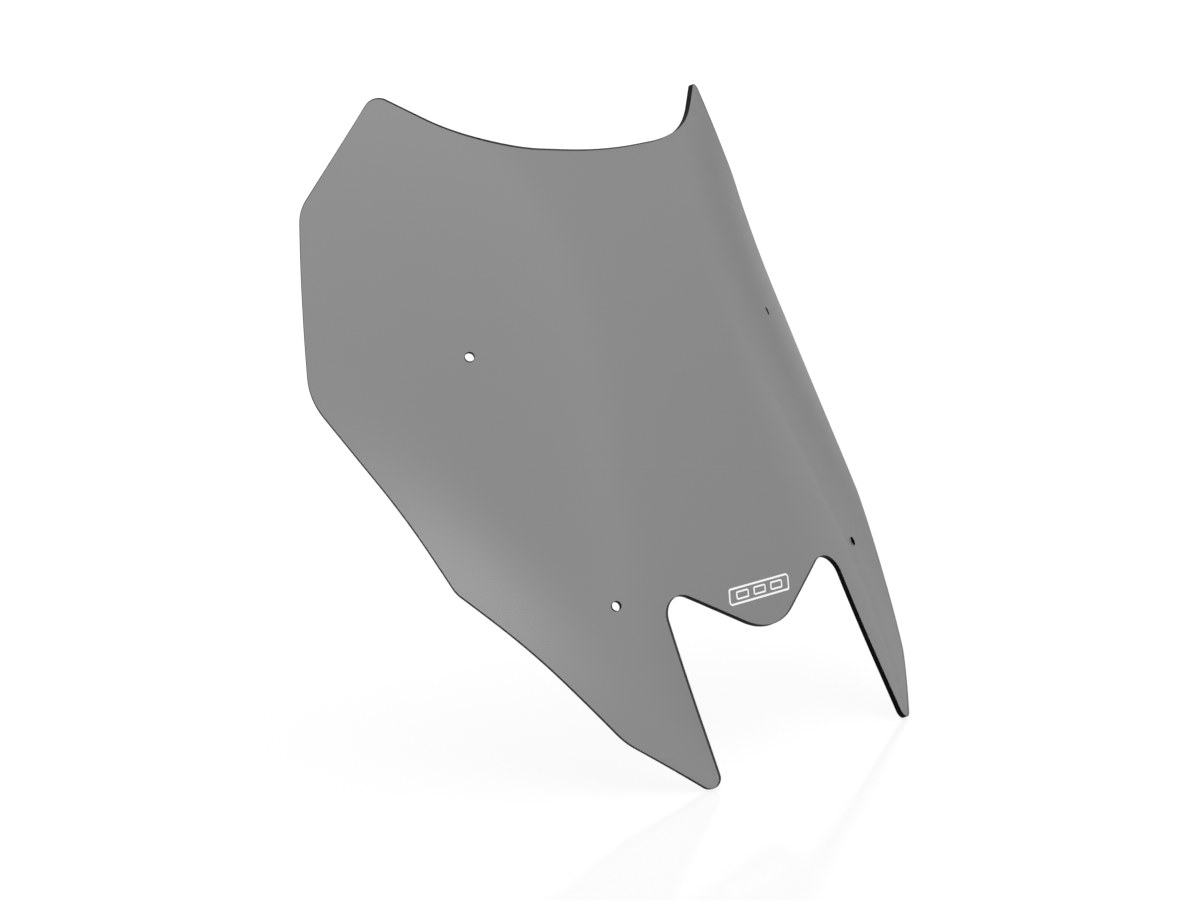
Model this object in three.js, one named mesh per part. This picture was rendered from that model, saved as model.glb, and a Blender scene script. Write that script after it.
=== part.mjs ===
// Motorcycle windshield screen: one smoke-tinted acrylic sheet, formed into a middle panel and two wings,
// with four screw holes, and a small cut-vinyl mark on the tab below the middle.
// Millimetres, +Z up, -Y into the wind. The origin is the centre of the pattern of four screw holes.

import * as THREE from 'three';

// Sheet and its four screw holes.
const THICKNESS = 4;
const EDGE_ROUND = 0.8;
const HOLE_DIAMETER = 6.5;
const SEAT_DIAMETER = 18;
const HOLES = {
  upper: { x: 154, s: 95 },
  lower: { x: 125.5, s: -95 },
};

// Formed surface: x runs across the bike and s runs up the middle of the sheet, which leans back.
// Depth is measured backwards, square to that lean. The sheet crowns across and sweeps back towards
// its top, each by a depth at full reach, and turns back along two soft bends into wings.
const LEAN = THREE.MathUtils.degToRad(25.4);
const REACH_X = 245;
const REACH_S = 250;
const CROWN = 17.5;
const SWEEP = 15;

// The bends, by their distance from the middle: at mid height, its steady change up to full reach and
// its cubic one. The softness is the half width over which a bend turns.
const BEND = { middle: 97, steady: -56, cubic: 65, softness: 20 };

// The wings past the bends: depth gained per millimetre, and per millimetre squared.
const WING_SLOPE = 0.42;
const WING_CURL = 0.00052;

// Outline of the right half, from the top dip round to the tab: corners across and up the sheet,
// each with the radius that rounds it. A very large radius is a bowed edge.
const CORNERS = {
  dip_floor: { x: 19.5, s: 224.5, radius: 370 },
  dip_rise: { x: 101, s: 233, radius: 142 },
  top_corner: { x: 162.5, s: 288.5, radius: 9.5 },
  side_corner: { x: 220.5, s: 223.5, radius: 28.5 },
  widest: { x: 247, s: 97.5, radius: 61.5 },
  flank_bow: { x: 222, s: 2.5, radius: 740 },
  flank_corner: { x: 211.5, s: -56, radius: 23.5 },
  leg_bow: { x: 183, s: -107.5, radius: 720 },
  leg_corner: { x: 149, s: -182.5, radius: 50 },
  leg_tip: { x: 98.5, s: -240, radius: 7.5 },
  notch: { x: 90.5, s: -88.5, radius: 15.5 },
  tab_tip: { x: 0, s: -145, radius: 46.5 },
};

// Facets of the sheet: the longest step along the edge, the most that a facet turns on an arc, the pitch
// of the points inside and the facets round a hole. HAIR is a shift too small to see, and FAR lies well
// outside the outline.
const EDGE_STEP = 9;
const ARC_TURN = THREE.MathUtils.degToRad(15);
const PITCH = 15;
const HOLE_FACETS = 24;
const HAIR = 1e-4;
const FAR = 1e4;

// Mark on the tab: a slanted border with three bars inside, cut from vinyl film.
const VINYL = 0.25;
const VINYL_GAP = 0.3;
const VINYL_STEP = 4;
const MARK_CENTRE = { x: -1, s: -111 };
const MARK_SLANT = 0.4;
const BORDER = { width: 64, height: 12, stroke: 1.4, radius: 2.5 };
const BARS = {
  mark_bar_left: { offset: -18, width: 13, height: 6, stroke: 1.2, radius: 1.4 },
  mark_bar_middle: { offset: 0, width: 13, height: 6, stroke: 1.2, radius: 1.4 },
  mark_bar_right: { offset: 18, width: 13, height: 6, stroke: 1.2, radius: 1.4 },
};

const acrylic = new THREE.MeshStandardMaterial({
  color: 0x55575a,
  roughness: 0.05,
  metalness: 0,
  transparent: true,
  opacity: 0.75,
});
const vinyl = new THREE.MeshStandardMaterial({ color: 0xf2f2f2, roughness: 0.5, metalness: 0 });

// Distance of the bends from the middle, and how it changes up the sheet.
function bendAt(b) {
  return {
    offset: BEND.middle + BEND.steady * b + BEND.cubic * b ** 3,
    drift: (BEND.steady + 3 * BEND.cubic * b ** 2) / REACH_S,
  };
}

// How far a place lies past the bends, eased round them, and how that changes across and up.
function pastBends(x, s) {
  const { offset, drift } = bendAt(s / REACH_S);
  const right = Math.hypot(x - offset, BEND.softness);
  const left = Math.hypot(x + offset, BEND.softness);
  const middle = Math.hypot(offset, BEND.softness);
  const turnRight = (x - offset) / right;
  const turnLeft = (x + offset) / left;
  return {
    past: (right + left) / 2 - middle,
    across: (turnRight + turnLeft) / 2,
    up: ((turnLeft - turnRight) / 2 - offset / middle) * drift,
  };
}

// Depth of the middle of the sheet behind its leaning chord, and how it changes across and up.
function depthAt(x, s) {
  const a = x / REACH_X;
  const b = s / REACH_S;
  const wing = pastBends(x, s);
  const slope = WING_SLOPE + 2 * WING_CURL * wing.past;
  return {
    depth: CROWN * a ** 2 + SWEEP * b ** 3 + (WING_SLOPE + WING_CURL * wing.past) * wing.past,
    across: (2 * CROWN * a) / REACH_X + slope * wing.across,
    up: (3 * SWEEP * b ** 2) / REACH_S + slope * wing.up,
  };
}

// A flat seat is the tangent plane at its hole's centre.
function seatPlane(seat, x, s) {
  const at = depthAt(seat.x, seat.s);
  return { ...at, depth: at.depth + at.across * (x - seat.x) + at.up * (s - seat.s) };
}

function toFrame(x, s, depth) {
  return new THREE.Vector3(
    x,
    s * Math.sin(LEAN) + depth * Math.cos(LEAN),
    s * Math.cos(LEAN) - depth * Math.sin(LEAN),
  );
}

// A point raised off the middle of the sheet, forwards for a positive lift.
function surfacePoint(point, lift) {
  const at = point.seat ? seatPlane(point.seat, point.x, point.s) : depthAt(point.x, point.s);
  const rise = lift / Math.hypot(at.across, at.up, 1);
  return toFrame(point.x + at.across * rise, point.s + at.up * rise, at.depth - rise)
    .sub(patternCentre());
}

function patternCentre() {
  const rows = Object.values(HOLES).map((hole) => {
    return toFrame(0, hole.s, depthAt(hole.x, hole.s).depth);
  });
  return rows[0].add(rows[1]).multiplyScalar(0.5);
}

// Points along a straight, without its last one, no further apart than step.
function straight(from, to, step) {
  const count = Math.max(1, Math.ceil(from.distanceTo(to) / step));
  return Array.from({ length: count }, (_, i) => from.clone().lerp(to, i / count));
}

// A closed outline through corners, each rounded by its radius.
function roundedOutline(corners, step) {
  const arcs = corners.map((corner, i) => {
    const before = corners.at(i - 1);
    const after = corners[(i + 1) % corners.length];
    return roundedCorner(before, corner, after, step);
  });
  return arcs.flatMap((arc, i) => {
    const next = arcs[(i + 1) % arcs.length];
    return [...arc.slice(0, -1), ...straight(arc.at(-1), next[0], step)];
  });
}

function roundedCorner(before, corner, after, step) {
  const apex = new THREE.Vector2(corner.x, corner.s);
  const back = new THREE.Vector2(before.x, before.s).sub(apex).normalize();
  const ahead = new THREE.Vector2(after.x, after.s).sub(apex).normalize();
  const turn = Math.PI - Math.acos(back.dot(ahead));
  const centre = back.clone().add(ahead).setLength(corner.radius / Math.cos(turn / 2)).add(apex);
  const reach = corner.radius * Math.tan(turn / 2);
  const arm = back.clone().multiplyScalar(reach).add(apex).sub(centre);
  const count = Math.max(2, Math.ceil(turn / ARC_TURN), Math.ceil((turn * corner.radius) / step));
  const sweep = Math.sign(ahead.cross(back)) * turn;
  return Array.from({ length: count + 1 }, (_, i) => {
    return arm.clone().rotateAround(new THREE.Vector2(), (sweep * i) / count).add(centre);
  });
}

const asPoint = (vector) => ({ x: vector.x, s: vector.y });

// The whole outline, counter-clockwise as seen from the front, from its right half.
function screenOutline() {
  const right = Object.values(CORNERS);
  const left = right.filter((corner) => corner.x > 0).map((corner) => ({ ...corner, x: -corner.x }));
  const clockwise = [...right, ...left.reverse()];
  return roundedOutline(clockwise.reverse(), EDGE_STEP).map(asPoint);
}

// A circle of the given radius on the flat seat round a hole.
function seatRing(hole, radius) {
  const at = depthAt(hole.x, hole.s);
  const e1 = new THREE.Vector3(1, 0, at.across).normalize();
  const normal = new THREE.Vector3(at.across, at.up, -1).normalize();
  const e2 = e1.clone().cross(normal);
  return Array.from({ length: HOLE_FACETS }, (_, i) => {
    const angle = (2 * Math.PI * i) / HOLE_FACETS;
    const arm = e1.clone().multiplyScalar(radius * Math.cos(angle));
    arm.addScaledVector(e2, radius * Math.sin(angle));
    return { x: hole.x + arm.x, s: hole.s + arm.y, seat: hole };
  });
}

function area(loop) {
  return loop.reduce((sum, p, i) => {
    const q = loop[(i + 1) % loop.length];
    return sum + (p.x * q.s - q.x * p.s) / 2;
  }, 0);
}

function isInside(loop, x, s) {
  return loop.reduce((inside, p, i) => {
    const q = loop[(i + 1) % loop.length];
    const crosses = p.s > s !== q.s > s && x < p.x + ((s - p.s) * (q.x - p.x)) / (q.s - p.s);
    return crosses ? !inside : inside;
  }, false);
}

function distanceTo(loop, x, s) {
  return Math.min(...loop.map((p, i) => {
    const q = loop[(i + 1) % loop.length];
    const along = new THREE.Vector2(q.x - p.x, q.s - p.s);
    const from = new THREE.Vector2(x - p.x, s - p.s);
    const t = THREE.MathUtils.clamp(from.dot(along) / along.lengthSq(), 0, 1);
    return from.addScaledVector(along, -t).length();
  }));
}

// Staggered rows of points inside the outline, clear of its edge and of the seats.
function innerPoints(outline, seats) {
  const points = [];
  const rowPitch = PITCH * Math.sin(Math.PI / 3);
  const tallest = Math.max(...outline.map((p) => Math.abs(p.s)));
  const widest = Math.max(...outline.map((p) => Math.abs(p.x)));
  const rows = Math.ceil(tallest / rowPitch);
  const columns = Math.ceil(widest / PITCH);
  for (let row = -rows; row <= rows; row += 1) {
    const s = row * rowPitch;
    for (let column = -columns; column <= columns; column += 1) {
      const x = (column + (Math.abs(row) % 2) / 2) * PITCH;
      const clear = isInside(outline, x, s) && distanceTo(outline, x, s) > PITCH / 2;
      const offSeats = seats.every((seat) => Math.hypot(x - seat.x, s - seat.s) > seat.clear);
      if (clear && offSeats) {
        points.push({ x, s });
      }
    }
  }
  return points;
}

// Circle through three points, used to test which triangles a new point breaks.
function circumcircle(a, b, c) {
  const d = 2 * (a.x * (b.s - c.s) + b.x * (c.s - a.s) + c.x * (a.s - b.s));
  const [aa, bb, cc] = [a, b, c].map((p) => p.x ** 2 + p.s ** 2);
  const x = (aa * (b.s - c.s) + bb * (c.s - a.s) + cc * (a.s - b.s)) / d;
  const s = (aa * (c.x - b.x) + bb * (a.x - c.x) + cc * (b.x - a.x)) / d;
  return { x, s, square: (a.x - x) ** 2 + (a.s - s) ** 2 };
}

// Delaunay triangles over all points, one point added at a time. The outline is symmetric, so each
// point is shifted by a hair: no four of them then share a circle.
function delaunay(exact) {
  const points = exact.map((p, i) => {
    return { x: p.x + HAIR * Math.sin(i * i), s: p.s + HAIR * Math.cos(i * i) };
  });
  const all = [...points, { x: -FAR, s: -FAR }, { x: FAR, s: -FAR }, { x: 0, s: FAR }];
  const make = (i, j, k) => ({ at: [i, j, k], circle: circumcircle(all[i], all[j], all[k]) });
  const n = points.length;
  let triangles = [make(n, n + 1, n + 2)];
  points.forEach((p, index) => {
    const edges = new Map();
    const kept = [];
    for (const triangle of triangles) {
      const { circle } = triangle;
      if ((p.x - circle.x) ** 2 + (p.s - circle.s) ** 2 >= circle.square) {
        kept.push(triangle);
        continue;
      }
      const [i, j, k] = triangle.at;
      for (const [from, to] of [[i, j], [j, k], [k, i]]) {
        if (!edges.delete(`${to},${from}`)) {
          edges.set(`${from},${to}`, [from, to]);
        }
      }
    }
    triangles = [...kept, ...[...edges.values()].map(([from, to]) => make(from, to, index))];
  });
  return triangles.map((triangle) => triangle.at).filter((at) => at.every((i) => i < n));
}

// Triangles inside the first loop and outside the others, over their points and the inner ones.
function fill(loops, inner) {
  const points = [...loops.flat(), ...inner];
  const triangles = delaunay(points).filter((at) => {
    const x = at.reduce((sum, i) => sum + points[i].x, 0) / 3;
    const s = at.reduce((sum, i) => sum + points[i].s, 0) / 3;
    return loops.every((loop, i) => isInside(loop, x, s) === (i === 0));
  });
  return { points, triangles };
}

// A loop moved to its own left, which is into the sheet for every loop.
function inset(loop, distance) {
  return loop.map((p, i) => {
    const before = loop.at(i - 1);
    const after = loop[(i + 1) % loop.length];
    const along = new THREE.Vector2(after.x - before.x, after.s - before.s).normalize();
    return { ...p, x: p.x - along.y * distance, s: p.s + along.x * distance };
  });
}

// A closed solid that follows the formed surface, between two lifts from the middle of the sheet.
// The first loop is the outline and the others are holes in it; round eases the outline's two edges.
function sheetSolid(loops, inner, lifts, round) {
  const turned = loops.map((loop, i) => (area(loop) > 0 === (i === 0) ? loop : [...loop].reverse()));
  const faceLoops = turned.map((loop, i) => (i === 0 && round > 0 ? inset(loop, round) : loop));
  const { points, triangles } = fill(faceLoops, inner);
  const vertices = [];
  const faces = [];
  const add = (list, lift) => {
    const first = vertices.length;
    vertices.push(...list.map((point) => surfacePoint(point, lift)));
    return first;
  };
  const front = add(points, lifts.front);
  const rear = add(points, lifts.rear);
  for (const [i, j, k] of triangles) {
    faces.push([front + i, front + j, front + k], [rear + k, rear + j, rear + i]);
  }
  let start = 0;
  turned.forEach((loop, index) => {
    const eased = index === 0 && round > 0;
    const walls = eased ? [add(loop, lifts.front - round), add(loop, lifts.rear + round)] : [];
    const rings = [front + start, ...walls, rear + start];
    for (let ring = 0; ring < rings.length - 1; ring += 1) {
      faces.push(...band(rings[ring], rings[ring + 1], loop.length));
    }
    start += loop.length;
  });
  return toGeometry(vertices, faces);
}

// The band of triangles between two closed rings of vertices.
function band(near, next, count) {
  return Array.from({ length: count }, (_, i) => {
    const j = (i + 1) % count;
    return [[near + i, next + i, next + j], [near + i, next + j, near + j]];
  }).flat();
}

function toGeometry(vertices, faces) {
  const geometry = new THREE.BufferGeometry();
  const flat = vertices.flatMap((vertex) => vertex.toArray());
  geometry.setAttribute('position', new THREE.Float32BufferAttribute(flat, 3));
  geometry.setIndex(faces.flat());
  geometry.computeVertexNormals();
  return geometry;
}

function screenGeometry() {
  const outline = screenOutline();
  const holes = Object.values(HOLES).flatMap((hole) => [hole, { ...hole, x: -hole.x }]);
  const seatClear = SEAT_DIAMETER / 2 + PITCH / 2;
  const clearSeats = holes.map((hole) => ({ ...hole, clear: seatClear }));
  const rims = holes.flatMap((hole) => seatRing(hole, SEAT_DIAMETER / 2));
  const bores = holes.map((hole) => seatRing(hole, HOLE_DIAMETER / 2));
  const inner = [...rims, ...innerPoints(outline, clearSeats)];
  const lifts = { front: THICKNESS / 2, rear: -THICKNESS / 2 };
  return sheetSolid([outline, ...bores], inner, lifts, EDGE_ROUND);
}

// A slanted four-sided loop with rounded corners, about the mark's centre.
function slantedLoop({ offset, width, height, radius }) {
  const corners = [[-1, -1], [1, -1], [1, 1], [-1, 1]].map(([side, end]) => ({
    x: MARK_CENTRE.x + offset + (side * width) / 2 + (end * MARK_SLANT * height) / 2,
    s: MARK_CENTRE.s + (end * height) / 2,
    radius,
  }));
  return roundedOutline(corners, VINYL_STEP).map(asPoint);
}

// An outline stroke of vinyl film lying on the front of the sheet.
function strokeGeometry({ offset = 0, width, height, stroke, radius }) {
  const outer = slantedLoop({ offset, width, height, radius });
  const inner = inset(outer, stroke);
  const rear = THICKNESS / 2 + VINYL_GAP;
  return sheetSolid([outer, inner], [], { front: rear + VINYL, rear }, 0);
}

function piece(name, geometry, material) {
  const mesh = new THREE.Mesh(geometry, material);
  mesh.name = name;
  return mesh;
}

const windshield = new THREE.Group();
windshield.add(piece('screen', screenGeometry(), acrylic));
windshield.add(piece('mark_border', strokeGeometry(BORDER), vinyl));
for (const [name, bar] of Object.entries(BARS)) {
  windshield.add(piece(name, strokeGeometry(bar), vinyl));
}

export default windshield;
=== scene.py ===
import math

import bpy
import numpy as np
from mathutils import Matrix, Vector
from mathutils.geometry import delaunay_2d_cdt


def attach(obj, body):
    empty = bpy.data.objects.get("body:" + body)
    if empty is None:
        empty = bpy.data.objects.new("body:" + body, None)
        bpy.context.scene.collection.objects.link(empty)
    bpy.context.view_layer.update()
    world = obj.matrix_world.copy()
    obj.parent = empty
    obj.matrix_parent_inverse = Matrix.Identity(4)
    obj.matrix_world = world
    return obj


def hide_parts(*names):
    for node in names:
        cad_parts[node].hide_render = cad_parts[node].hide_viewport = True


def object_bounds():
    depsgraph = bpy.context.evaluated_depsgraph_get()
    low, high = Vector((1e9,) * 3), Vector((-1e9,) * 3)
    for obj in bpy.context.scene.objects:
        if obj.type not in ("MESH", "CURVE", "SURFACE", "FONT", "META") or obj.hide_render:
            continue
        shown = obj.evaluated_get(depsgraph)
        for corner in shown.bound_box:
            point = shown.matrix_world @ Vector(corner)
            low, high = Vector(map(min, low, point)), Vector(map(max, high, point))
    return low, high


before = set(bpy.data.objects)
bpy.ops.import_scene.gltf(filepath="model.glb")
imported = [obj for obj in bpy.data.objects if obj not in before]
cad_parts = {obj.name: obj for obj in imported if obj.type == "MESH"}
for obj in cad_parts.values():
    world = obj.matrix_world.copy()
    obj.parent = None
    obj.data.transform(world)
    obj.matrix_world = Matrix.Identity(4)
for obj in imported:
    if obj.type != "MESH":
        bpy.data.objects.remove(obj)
cad_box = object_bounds()

# Looks for the motorcycle windshield screen. Lengths of the screen are in millimetres, as in its CAD
# source, and turn into metres where a mesh is made.
MM = 0.001

# Sheet, screw holes and formed surface, as in the CAD source: x runs across and s up the leaning sheet.
THICKNESS = 4.0
EDGE_ROUND = 0.3
HOLE_DIAMETER = 6.5
HOLE_ROUND = 0.12
HOLES = {"upper": (154.0, 95.0), "lower": (125.5, -95.0)}
LEAN = math.radians(25.4)
REACH_X = 245.0
REACH_S = 250.0
CROWN = 17.5
SWEEP = 15.0
BEND_MIDDLE = 97.0
BEND_STEADY = -56.0
BEND_CUBIC = 65.0
BEND_SOFTNESS = 20.0
WING_SLOPE = 0.42
WING_CURL = 0.00052

# Outline of the right half, from the top dip round to the tab: across, up, and rounding radius.
CORNERS = [
    (19.5, 224.5, 370.0),
    (101.0, 233.0, 142.0),
    (162.5, 288.5, 9.5),
    (220.5, 223.5, 28.5),
    (247.0, 97.5, 61.5),
    (222.0, 2.5, 740.0),
    (211.5, -56.0, 23.5),
    (183.0, -107.5, 720.0),
    (149.0, -182.5, 50.0),
    (98.5, -240.0, 7.5),
    (90.5, -88.5, 15.5),
    (0.0, -145.0, 46.5),
]

# Fineness of the shown mesh: the longest step along an edge, the most that a facet turns on an arc, the
# pitch of the points inside and how many pitches they stay off an edge, and the steps round a hole and
# over a rounding. Points closer together than MERGE are one point.
EDGE_STEP = 3.0
ARC_TURN = math.radians(6)
PITCH = 5.0
EDGE_CLEAR = 0.6
HOLE_FACETS = 48
ROUND_STEPS = 4
MERGE = 1e-6

# Mark on the tab, in cut vinyl film: a slanted border with three bars inside. Each outline has its offset
# across, its width and height, the width of its stroke and the radius of its corners.
VINYL = 0.2
VINYL_LIFT = 0.05
VINYL_ROUND = 0.05
VINYL_STEP = 1.5
MARK_CENTRE = (-1.0, -111.0)
MARK_SLANT = 0.4
MARK = {
    "mark_border": (0.0, 64.0, 12.0, 1.4, 2.5),
    "mark_bar_left": (-18.0, 13.0, 6.0, 1.2, 1.4),
    "mark_bar_middle": (0.0, 13.0, 6.0, 1.2, 1.4),
    "mark_bar_right": (18.0, 13.0, 6.0, 1.2, 1.4),
}

# Materials. A texture has its scale and detail. A relief has its height in metres and its strength. Tints
# and roughnesses run from the first value to the second over a texture.
SMOKE_DENSITY = 350.0
ACRYLIC_IOR = 1.49
HAZE = (60.0, 4.0)
HAZE_ROUGHNESS = (0.01, 0.03)
RIPPLE = (9.0, 1.0)
RIPPLE_RELIEF = (0.0002, 0.2)
EDGE_SPECULAR = 0.06
EDGE_MARKS = (1400.0, 3.0)
# Painted shade: the near-black base colour of the sheet's edge faces stands in for the dark look that the
# clear acrylic edge gets as light passes through it.
EDGE_PAINTED_SHADE = (0.001, 0.006)
EDGE_ROUGHNESS = (0.3, 0.5)
EDGE_RELIEF = (0.00003, 0.4)
VINYL_GRAIN = (900.0, 3.0)
VINYL_TINT = (0.9, 0.98)
VINYL_ROUGHNESS = (0.35, 0.55)
VINYL_RELIEF = (0.00002, 0.3)

# Camera, in metres: its place, heading from +Y towards +X, dip, focal length and sensor width, and how far
# it sees.
CAMERA_AT = (-1.1767, -1.0645, 0.3228)
CAMERA_HEADING = math.radians(45.743)
CAMERA_DIP = math.radians(11.478)
CAMERA_LENS = 68.19
CAMERA_SENSOR = 36.0
CAMERA_REACH = 2000.0

# Floor, in metres: a pale satin floor that is partly lit from below, as a light table is. The legs stand
# clear of it by the drop.
FLOOR_REACH = 600.0
FLOOR_DROP = 0.0005
FLOOR_GLOW = 0.83
FLOOR_TINT = 0.14
FLOOR_ROUGHNESS = 0.1
FLOOR_SPECULAR = 0.3

# Studio light: an even dome with soft lights in it. Each has its turn from straight ahead of the screen
# towards +X and its height in degrees, where its edge begins and is full as a cosine, and its gain.
DOME = 0.46
DOME_LIGHTS = [
    (40.0, 0.0, 0.28, 0.8, 0.6),
    (68.0, 6.0, 0.955, 0.985, 0.2),
    (0.0, 90.0, 0.78, 0.95, 1.6),
]

# A soft strip of light that the lower left edge of the sheet mirrors to the camera. It is laid out on the
# sheet in millimetres, between two corners, and thrown out by a distance in metres along the mirrored line
# of sight. It is brightest at one height up the sheet and along one edge, which has its place across at
# mid height, its slope and its bow, and it fades over a length up the sheet and a width inwards.
STRIP_LOW = (-265.0, -200.0)
STRIP_HIGH = (-90.0, 160.0)
STRIP_PITCH = 8.0
STRIP_THROW = 0.6
STRIP_GAIN = 2.3
STRIP_HEIGHT = -50.0
STRIP_EDGE = (-221.0, -0.3, 0.0006)
STRIP_HALF_LENGTH = 90.0
STRIP_HALF_WIDTH = 30.0


def past_bends(x, s):
    """How far a place lies past the two bends, eased round them, and its change across and up."""
    b = s / REACH_S
    offset = BEND_MIDDLE + BEND_STEADY * b + BEND_CUBIC * b**3
    drift = (BEND_STEADY + 3 * BEND_CUBIC * b**2) / REACH_S
    right = np.hypot(x - offset, BEND_SOFTNESS)
    left = np.hypot(x + offset, BEND_SOFTNESS)
    middle = np.hypot(offset, BEND_SOFTNESS)
    turn_right = (x - offset) / right
    turn_left = (x + offset) / left
    past = (right + left) / 2 - middle
    return past, (turn_right + turn_left) / 2, ((turn_left - turn_right) / 2 - offset / middle) * drift


def depth_at(x, s):
    """Depth of the middle of the sheet behind its leaning chord, and how it changes across and up."""
    a = x / REACH_X
    b = s / REACH_S
    past, past_across, past_up = past_bends(x, s)
    slope = WING_SLOPE + 2 * WING_CURL * past
    depth = CROWN * a**2 + SWEEP * b**3 + (WING_SLOPE + WING_CURL * past) * past
    across = 2 * CROWN * a / REACH_X + slope * past_across
    up = 3 * SWEEP * b**2 / REACH_S + slope * past_up
    return depth, across, up


def to_frame(x, s, depth):
    """Turns across, up and depth into X, Y and Z, without moving the origin."""
    y = s * math.sin(LEAN) + depth * math.cos(LEAN)
    z = s * math.cos(LEAN) - depth * math.sin(LEAN)
    return np.stack([x, y, z], axis=-1)


def pattern_centre():
    rows = [to_frame(0.0, s, depth_at(x, s)[0]) for x, s in HOLES.values()]
    return (rows[0] + rows[1]) / 2


def front_normals(points):
    _, across, up = depth_at(points[:, 0], points[:, 1])
    size = np.sqrt(across**2 + up**2 + 1)
    return to_frame(across / size, up / size, -1 / size)


def surface_points(points, lift):
    """Points raised off the middle of the sheet, forwards for a positive lift, in millimetres."""
    depth, _, _ = depth_at(points[:, 0], points[:, 1])
    middle = to_frame(points[:, 0], points[:, 1], depth) - pattern_centre()
    return middle + front_normals(points) * lift


def rounded_outline(corners, step):
    """A closed outline through corners, each rounded by its radius, as an array of points."""
    arcs = []
    for i, (x, s, radius) in enumerate(corners):
        apex = np.array([x, s])
        back = np.array(corners[i - 1][:2]) - apex
        ahead = np.array(corners[(i + 1) % len(corners)][:2]) - apex
        back /= np.linalg.norm(back)
        ahead /= np.linalg.norm(ahead)
        turn = math.pi - math.acos(float(back @ ahead))
        middle = back + ahead
        centre = apex + middle / np.linalg.norm(middle) * radius / math.cos(turn / 2)
        arm = apex + back * radius * math.tan(turn / 2) - centre
        count = max(2, math.ceil(turn / ARC_TURN), math.ceil(turn * radius / step))
        sweep = math.copysign(turn, ahead[0] * back[1] - ahead[1] * back[0])
        angles = np.linspace(0.0, sweep, count + 1)[:, None]
        side = np.array([-arm[1], arm[0]])
        arcs.append(centre + arm * np.cos(angles) + side * np.sin(angles))
    loop = []
    for i, arc in enumerate(arcs):
        start, end = arc[-1], arcs[(i + 1) % len(arcs)][0]
        count = max(1, math.ceil(np.linalg.norm(end - start) / step))
        loop.append(arc[:-1])
        loop.append(start + (end - start) * (np.arange(count) / count)[:, None])
    return np.concatenate(loop)


def signed_area(loop):
    after = np.roll(loop, -1, axis=0)
    return float(np.sum(loop[:, 0] * after[:, 1] - after[:, 0] * loop[:, 1])) / 2


def wound(loop, outer):
    """The loop counter-clockwise for an outline, clockwise for a hole."""
    return loop if (signed_area(loop) > 0) == outer else loop[::-1]


def screen_outline():
    left = [(-x, s, radius) for x, s, radius in reversed(CORNERS) if x > 0]
    return wound(rounded_outline(CORNERS + left, EDGE_STEP), True)


def hole_loop(x, s):
    """A circle of the hole's diameter on the slope of the sheet, seen along the sheet's depth."""
    _, across, up = depth_at(x, s)
    normal = np.array([across, up, -1.0])
    normal /= np.linalg.norm(normal)
    first = np.array([1.0, 0.0, across])
    first /= np.linalg.norm(first)
    second = np.cross(first, normal)
    angles = (2 * math.pi * np.arange(HOLE_FACETS) / HOLE_FACETS)[:, None]
    arms = first * np.cos(angles) + second * np.sin(angles)
    return wound(np.array([x, s]) + arms[:, :2] * HOLE_DIAMETER / 2, False)


def inside(loop, points):
    """True for each point that lies inside the loop."""
    x, s = points[:, 0, None], points[:, 1, None]
    after = np.roll(loop, -1, axis=0)
    spans = (loop[:, 1] > s) != (after[:, 1] > s)
    rise = np.where(spans, after[:, 1] - loop[:, 1], 1.0)
    crosses = spans & (x < loop[:, 0] + (s - loop[:, 1]) * (after[:, 0] - loop[:, 0]) / rise)
    return np.sum(crosses, axis=1) % 2 == 1


def clear_of(loop, points, gap):
    """True for each point further than gap from the loop's points."""
    apart = np.linalg.norm(points[:, None, :] - loop[None, :, :], axis=2)
    return apart.min(axis=1) > gap


def inset(loop, distance):
    """The loop moved to its own left, which is into the material for every wound loop."""
    along = np.roll(loop, -1, axis=0) - np.roll(loop, 1, axis=0)
    along /= np.linalg.norm(along, axis=1)[:, None]
    return loop + np.stack([-along[:, 1], along[:, 0]], axis=1) * distance


def inner_points(loops, pitch):
    """Staggered rows of points inside the first loop and clear of all of them."""
    low, high = loops[0].min(axis=0), loops[0].max(axis=0)
    rise = pitch * math.sin(math.pi / 3)
    rows = []
    for i, s in enumerate(np.arange(low[1], high[1], rise)):
        x = np.arange(low[0] + (i % 2) * pitch / 2, high[0], pitch)
        rows.append(np.stack([x, np.full_like(x, s)], axis=1))
    points = np.concatenate(rows)
    keep = inside(loops[0], points)
    for loop in loops:
        keep &= clear_of(loop, points, pitch * EDGE_CLEAR)
    for hole in loops[1:]:
        keep &= ~inside(hole, points)
    return points[keep]


def fill(loops, inner):
    """Points and triangles of the region inside the first loop and outside the others."""
    points = np.concatenate([*loops, inner])
    edges = []
    start = 0
    for loop in loops:
        count = len(loop)
        edges += [(start + i, start + (i + 1) % count) for i in range(count)]
        start += count
    made = delaunay_2d_cdt([Vector(p) for p in points], edges, [], 0, MERGE, True)
    origin = [ids[0] for ids in made[3]]
    triangles = np.array([[origin[i] for i in face] for face in made[2]])
    middles = points[triangles].mean(axis=1)
    keep = inside(loops[0], middles)
    for hole in loops[1:]:
        keep &= ~inside(hole, middles)
    triangles = triangles[keep]
    a, b, c = (points[triangles[:, i]] for i in range(3))
    turn = (b - a)[:, 0] * (c - a)[:, 1] - (b - a)[:, 1] * (c - a)[:, 0]
    triangles[turn < 0] = triangles[turn < 0][:, ::-1]
    return points, triangles


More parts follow.
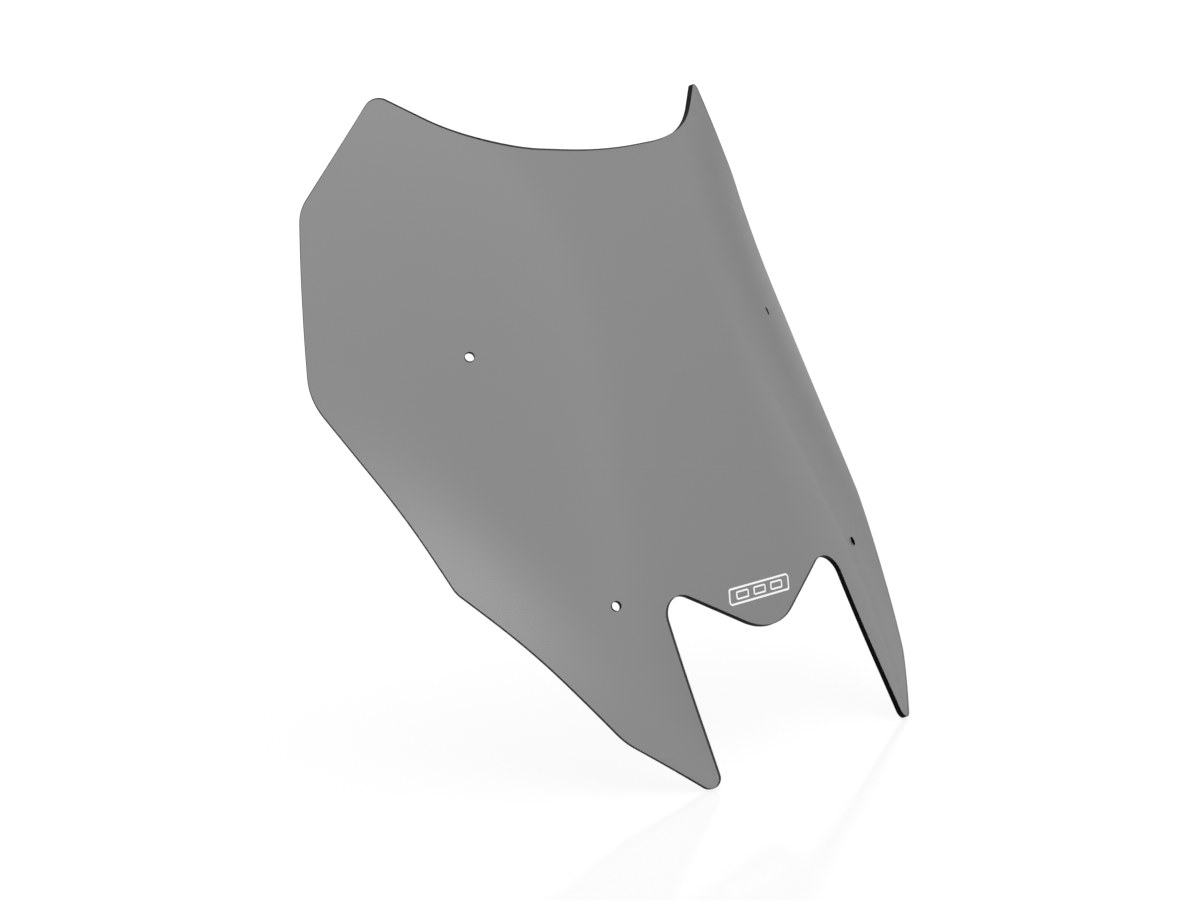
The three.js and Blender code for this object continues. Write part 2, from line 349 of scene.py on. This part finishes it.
def edge_profile(rounding, lifts):
    """Rings from the front face to the rear: inset, lift, and the normal's outward and front parts."""
    front, rear = lifts
    turns = [math.pi / 2 * i / ROUND_STEPS for i in range(1, ROUND_STEPS + 1)]
    over = [(rounding * (1 - math.sin(t)), front - rounding * (1 - math.cos(t))) for t in turns]
    under = [(rounding * (1 - math.sin(t)), rear + rounding * (1 - math.cos(t))) for t in turns]
    tops = [(*ring, math.sin(t), math.cos(t)) for ring, t in zip(over, turns)]
    bottoms = [(*ring, math.sin(t), -math.cos(t)) for ring, t in zip(under, turns)]
    return tops + bottoms[::-1]


def sheet_solid(loops, inner, lifts, roundings):
    """Vertices, normals, faces and which faces are edge faces, of a closed sheet between two lifts."""
    face_loops = [inset(loop, rounding) for loop, rounding in zip(loops, roundings)]
    points, triangles = fill(face_loops, inner)
    normals = front_normals(points)
    vertices = [surface_points(points, lifts[0]), surface_points(points, lifts[1])]
    directions = [normals, -normals]
    count = len(points)
    faces = [*triangles.tolist(), *(triangles[:, ::-1] + count).tolist()]
    face_total = len(faces)
    total = 2 * count
    start = 0
    for loop, rounding in zip(loops, roundings):
        rings = [np.arange(len(loop)) + start]
        for back, lift, out_part, front_part in edge_profile(rounding, lifts):
            ring = inset(loop, back)
            middle = surface_points(ring, lift)
            up = front_normals(ring)
            along = np.roll(middle, -1, axis=0) - np.roll(middle, 1, axis=0)
            out = np.cross(along, up)
            out /= np.linalg.norm(out, axis=1)[:, None]
            vertices.append(middle)
            directions.append(out * out_part + up * front_part)
            rings.append(np.arange(len(loop)) + total)
            total += len(loop)
        rings.append(np.arange(len(loop)) + start + count)
        for near, far in zip(rings, rings[1:]):
            quads = np.stack([near, far, np.roll(far, -1), np.roll(near, -1)], axis=1)
            faces += quads.tolist()
        start += len(loop)
    return np.concatenate(vertices), np.concatenate(directions), faces, face_total


def add_piece(name, built, materials):
    """A mesh object with the analytic normals; its edge faces take the last material."""
    vertices, directions, faces, face_total = built
    mesh = bpy.data.meshes.new(name)
    mesh.from_pydata((vertices * MM).tolist(), [], faces)
    for material in materials:
        mesh.materials.append(material)
    slots = [0] * face_total + [len(materials) - 1] * (len(faces) - face_total)
    mesh.polygons.foreach_set("material_index", slots)
    mesh.polygons.foreach_set("use_smooth", [True] * len(faces))
    mesh.normals_split_custom_set_from_vertices(directions.tolist())
    mesh.update()
    piece = bpy.data.objects.new(name, mesh)
    bpy.context.scene.collection.objects.link(piece)
    return piece


def new_material(name):
    material = bpy.data.materials.new(name)
    material.use_nodes = True
    nodes = material.node_tree.nodes
    return material, nodes, material.node_tree.links, nodes["Principled BSDF"]


def noise(nodes, links, pattern):
    """A noise texture of a scale and detail, fixed to the piece."""
    scale, detail = pattern
    place = nodes.new("ShaderNodeTexCoord")
    texture = nodes.new("ShaderNodeTexNoise")
    texture.inputs["Scale"].default_value = scale
    texture.inputs["Detail"].default_value = detail
    links.new(place.outputs["Object"], texture.inputs["Vector"])
    return texture


def ramp_to(nodes, links, source, span, socket):
    """Feeds a 0 to 1 value into a socket, scaled to run over the span."""
    low, high = span
    scaled = nodes.new("ShaderNodeMapRange")
    scaled.inputs["To Min"].default_value = low
    scaled.inputs["To Max"].default_value = high
    links.new(source, scaled.inputs["Value"])
    links.new(scaled.outputs["Result"], socket)


def tint_between(nodes, links, source, span, socket):
    """Feeds a 0 to 1 value into a colour socket, as a grey within the span."""
    low, high = span
    ramp = nodes.new("ShaderNodeValToRGB")
    ramp.color_ramp.elements[0].color = (low, low, low, 1.0)
    ramp.color_ramp.elements[1].color = (high, high, high, 1.0)
    links.new(source, ramp.inputs["Fac"])
    links.new(ramp.outputs["Color"], socket)


def bump_from(nodes, links, source, relief, shader):
    """Lets a 0 to 1 value stand out of the surface as a relief."""
    distance, strength = relief
    bump = nodes.new("ShaderNodeBump")
    bump.inputs["Strength"].default_value = strength
    bump.inputs["Distance"].default_value = distance
    links.new(source, bump.inputs["Height"])
    links.new(bump.outputs["Normal"], shader.inputs["Normal"])


def smoke_acrylic():
    """Polished smoke-tinted acrylic: light is absorbed on its way through the sheet."""
    material, nodes, links, shader = new_material("smoke_acrylic")
    shader.inputs["Base Color"].default_value = (1.0, 1.0, 1.0, 1.0)
    shader.inputs["Transmission Weight"].default_value = 1.0
    shader.inputs["IOR"].default_value = ACRYLIC_IOR
    haze = noise(nodes, links, HAZE)
    ramp_to(nodes, links, haze.outputs["Fac"], HAZE_ROUGHNESS, shader.inputs["Roughness"])
    ripple = noise(nodes, links, RIPPLE)
    bump_from(nodes, links, ripple.outputs["Fac"], RIPPLE_RELIEF, shader)
    absorb = nodes.new("ShaderNodeVolumeAbsorption")
    absorb.inputs["Color"].default_value = (0.0, 0.0, 0.0, 1.0)
    absorb.inputs["Density"].default_value = SMOKE_DENSITY
    links.new(absorb.outputs["Volume"], nodes["Material Output"].inputs["Volume"])
    return material


def painted_shade_edge():
    """The routed edge of the sheet, with fine tool marks across it, in painted shade: an opaque near-black
    stands in for the dark look that the clear acrylic edge gets as light passes through it.
    """
    material, nodes, links, shader = new_material("painted_shade_edge")
    shader.inputs["Specular IOR Level"].default_value = EDGE_SPECULAR
    marks = noise(nodes, links, EDGE_MARKS)
    # Painted shade: the near-black colour stands in for the edge's dark look, and the tool marks only vary
    # it a little.
    tint_between(nodes, links, marks.outputs["Fac"], EDGE_PAINTED_SHADE, shader.inputs["Base Color"])
    ramp_to(nodes, links, marks.outputs["Fac"], EDGE_ROUGHNESS, shader.inputs["Roughness"])
    bump_from(nodes, links, marks.outputs["Fac"], EDGE_RELIEF, shader)
    return material


def white_vinyl():
    """Satin vinyl film, with the fine orange peel of a cast film."""
    material, nodes, links, shader = new_material("white_vinyl")
    grain = noise(nodes, links, VINYL_GRAIN)
    tint_between(nodes, links, grain.outputs["Fac"], VINYL_TINT, shader.inputs["Base Color"])
    ramp_to(nodes, links, grain.outputs["Fac"], VINYL_ROUGHNESS, shader.inputs["Roughness"])
    bump_from(nodes, links, grain.outputs["Fac"], VINYL_RELIEF, shader)
    return material


def make_screen():
    loops = [screen_outline()]
    for x, s in HOLES.values():
        loops += [hole_loop(x, s), hole_loop(-x, s)]
    roundings = [EDGE_ROUND] + [HOLE_ROUND] * (len(loops) - 1)
    lifts = (THICKNESS / 2, -THICKNESS / 2)
    built = sheet_solid(loops, inner_points(loops, PITCH), lifts, roundings)
    # The edge faces and hole walls take the painted-shade material, an opaque near-black.
    piece = add_piece("screen_sheet", built, [smoke_acrylic(), painted_shade_edge()])
    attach(piece, "root")
    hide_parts("screen")


def slanted_loop(offset, width, height, radius):
    corners = []
    for side, end in [(-1, -1), (1, -1), (1, 1), (-1, 1)]:
        x = MARK_CENTRE[0] + offset + side * width / 2 + end * MARK_SLANT * height / 2
        corners.append((x, MARK_CENTRE[1] + end * height / 2, radius))
    return wound(rounded_outline(corners, VINYL_STEP), True)


def make_mark():
    vinyl = white_vinyl()
    rear = THICKNESS / 2 + VINYL_LIFT
    for node, (offset, width, height, stroke, radius) in MARK.items():
        outer = slanted_loop(offset, width, height, radius)
        inner = inset(outer, stroke)[::-1]
        lifts = (rear + VINYL, rear)
        built = sheet_solid([outer, inner], np.empty((0, 2)), lifts, [VINYL_ROUND, VINYL_ROUND])
        piece = add_piece(node + "_film", built, [vinyl])
        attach(piece, "root")
        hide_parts(node)


def make_camera():
    data = bpy.data.cameras.new("camera")
    data.lens = CAMERA_LENS
    data.sensor_width = CAMERA_SENSOR
    data.clip_end = CAMERA_REACH
    camera = bpy.data.objects.new("camera", data)
    camera.location = CAMERA_AT
    camera.rotation_euler = (math.pi / 2 - CAMERA_DIP, 0.0, -CAMERA_HEADING)
    bpy.context.scene.collection.objects.link(camera)
    bpy.context.scene.camera = camera


def make_floor(level):
    """The floor under a level. The sheet mirrors the dome in its place, which keeps its tones even."""
    reach = FLOOR_REACH
    corners = [(-reach, -reach, 0), (reach, -reach, 0), (reach, reach, 0), (-reach, reach, 0)]
    mesh = bpy.data.meshes.new("floor")
    mesh.from_pydata(corners, [], [(0, 1, 2, 3)])
    material, _, _, shader = new_material("floor")
    shader.inputs["Base Color"].default_value = (FLOOR_TINT, FLOOR_TINT, FLOOR_TINT, 1.0)
    shader.inputs["Roughness"].default_value = FLOOR_ROUGHNESS
    shader.inputs["Specular IOR Level"].default_value = FLOOR_SPECULAR
    shader.inputs["Emission Color"].default_value = (1.0, 1.0, 1.0, 1.0)
    shader.inputs["Emission Strength"].default_value = FLOOR_GLOW
    mesh.materials.append(material)
    floor = bpy.data.objects.new("floor", mesh)
    floor.location = (0.0, 0.0, level - FLOOR_DROP)
    floor.visible_glossy = False
    bpy.context.scene.collection.objects.link(floor)


def towards(turn, height):
    """The unit vector at a turn from -Y towards +X, and a height above the horizon, in degrees."""
    turn, height = math.radians(turn), math.radians(height)
    level = math.cos(height)
    return level * math.sin(turn), -level * math.cos(turn), math.sin(height)


def make_world():
    """A dome as bright in each direction as its even part and every soft light there add up to."""
    world = bpy.data.worlds.new("studio")
    world.use_nodes = True
    nodes = world.node_tree.nodes
    links = world.node_tree.links
    place = nodes.new("ShaderNodeTexCoord")
    total = nodes.new("ShaderNodeMath")
    total.inputs[0].default_value = DOME
    total.inputs[1].default_value = 0.0
    for turn, height, begins, full, gain in DOME_LIGHTS:
        aim = nodes.new("ShaderNodeVectorMath")
        aim.operation = "DOT_PRODUCT"
        aim.inputs[1].default_value = towards(turn, height)
        links.new(place.outputs["Generated"], aim.inputs[0])
        edge = nodes.new("ShaderNodeMapRange")
        edge.interpolation_type = "SMOOTHSTEP"
        edge.inputs["From Min"].default_value = begins
        edge.inputs["From Max"].default_value = full
        edge.inputs["To Max"].default_value = gain
        links.new(aim.outputs["Value"], edge.inputs["Value"])
        added = nodes.new("ShaderNodeMath")
        links.new(total.outputs[0], added.inputs[0])
        links.new(edge.outputs["Result"], added.inputs[1])
        total = added
    links.new(total.outputs[0], nodes["Background"].inputs["Strength"])
    nodes["Background"].inputs["Color"].default_value = (1.0, 1.0, 1.0, 1.0)
    bpy.context.scene.world = world
    bpy.context.scene.view_settings.view_transform = "Standard"


def strip_glow(x, s):
    """Brightness of the strip where it is mirrored: it follows the lower left edge and fades inwards."""
    across, slope, bow = STRIP_EDGE
    edge = across + slope * s + bow * s**2
    inwards = np.maximum(x - edge, 0.0) / STRIP_HALF_WIDTH
    along = (s - STRIP_HEIGHT) / STRIP_HALF_LENGTH
    return STRIP_GAIN * np.exp(-(inwards**2) - along**2)


def make_strip_light():
    """A glowing mesh, laid where lines of sight that the sheet mirrors arrive. Only glossy rays meet it."""
    across = np.arange(STRIP_LOW[0], STRIP_HIGH[0], STRIP_PITCH)
    up = np.arange(STRIP_LOW[1], STRIP_HIGH[1], STRIP_PITCH)
    x, s = (grid.ravel() for grid in np.meshgrid(across, up))
    on_sheet = surface_points(np.stack([x, s], axis=1), THICKNESS / 2) * MM
    normals = front_normals(np.stack([x, s], axis=1))
    sight = on_sheet - np.array(CAMERA_AT)
    sight /= np.linalg.norm(sight, axis=1)[:, None]
    mirrored = sight - 2 * np.sum(sight * normals, axis=1)[:, None] * normals
    width = len(across)
    faces = []
    for row in range(len(up) - 1):
        for first in range(row * width, row * width + width - 1):
            faces.append((first, first + 1, first + width + 1, first + width))
    mesh = bpy.data.meshes.new("strip_light")
    mesh.from_pydata((on_sheet + mirrored * STRIP_THROW).tolist(), [], faces)
    glow = mesh.attributes.new("glow", "FLOAT", "POINT")
    glow.data.foreach_set("value", strip_glow(x, s))
    mesh.materials.append(strip_material())
    strip = bpy.data.objects.new("strip_light", mesh)
    for ray in ("camera", "diffuse", "transmission", "volume_scatter", "shadow"):
        setattr(strip, "visible_" + ray, False)
    bpy.context.scene.collection.objects.link(strip)


def strip_material():
    """Light that adds to whatever is behind it."""
    material = bpy.data.materials.new("strip_light")
    material.use_nodes = True
    nodes = material.node_tree.nodes
    links = material.node_tree.links
    nodes.remove(nodes["Principled BSDF"])
    glow = nodes.new("ShaderNodeAttribute")
    glow.attribute_name = "glow"
    light = nodes.new("ShaderNodeEmission")
    links.new(glow.outputs["Fac"], light.inputs["Strength"])
    clear = nodes.new("ShaderNodeBsdfTransparent")
    both = nodes.new("ShaderNodeAddShader")
    links.new(light.outputs["Emission"], both.inputs[0])
    links.new(clear.outputs["BSDF"], both.inputs[1])
    links.new(both.outputs["Shader"], nodes["Material Output"].inputs["Surface"])
    return material


make_camera()
make_screen()
make_mark()
make_floor(cad_box[0].z)
make_world()
make_strip_light()
